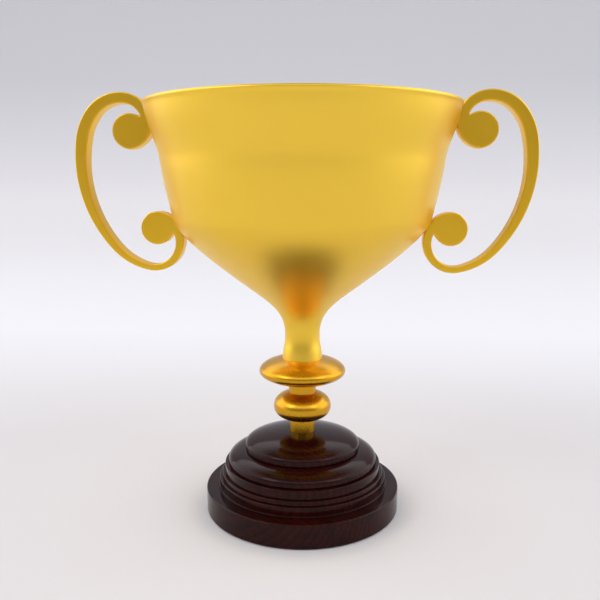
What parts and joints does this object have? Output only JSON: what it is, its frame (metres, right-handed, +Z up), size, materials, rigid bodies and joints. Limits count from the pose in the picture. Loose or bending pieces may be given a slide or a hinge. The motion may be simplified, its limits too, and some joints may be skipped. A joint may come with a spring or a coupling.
{
  "type": "cup trophy",
  "caption": "Two-handled presentation cup: a spun metal bowl on a knopped stem and a stepped, turned wooden base, held together by a tie rod.",
  "frame": {"origin": "centre of the underside, at the level of the surface that the trophy stands on", "axes": "+Z up the stem; the handles stand along X; the cup faces -Y"},
  "size_m": [0.27, 0.1826, 0.2536],
  "materials": {
    "cup_gold": "satin gold plate over spun brass, fine circular brushing",
    "handle_gold": "satin gold plate over cast brass, bead-blasted faces",
    "stem_gold": "polished gold plate over turned brass",
    "plug_brass": "plain turned brass with a soldered rim",
    "screw_brass": "gold-plated brass, lightly polished",
    "wood_screw_brass": "plain brass, dull",
    "base_wood": "very dark red-brown hardwood, turned, stained and lacquered to a gloss",
    "zinc_steel": "bright zinc-plated steel",
    "green_baize": "dark green wool baize, matt"
  },
  "bodies": {
    "root": {"cup_bowl": "cup_gold", "neck_plug": "plug_brass", "left_handle": "handle_gold", "right_handle": "handle_gold", "upper_knop": "stem_gold", "knop_spacer": "stem_gold", "lower_knop": "stem_gold", "stem_column": "stem_gold", "base_dome": "base_wood", "base_shoulder": "base_wood", "base_steps": "base_wood", "base_plinth": "base_wood", "tie_rod": "zinc_steel", "clamp_washer": "zinc_steel", "spring_washer": "zinc_steel", "hex_nut": "zinc_steel", "base_baize": "green_baize", "left_upper_screw": "screw_brass", "left_upper_washer": "screw_brass", "left_lower_screw": "screw_brass", "left_lower_washer": "screw_brass", "right_upper_screw": "screw_brass", "right_upper_washer": "screw_brass", "right_lower_screw": "screw_brass", "right_lower_washer": "screw_brass", "plinth_screw_1": "wood_screw_brass", "plinth_screw_2": "wood_screw_brass", "plinth_screw_3": "wood_screw_brass"}
  },
  "joints": []
}
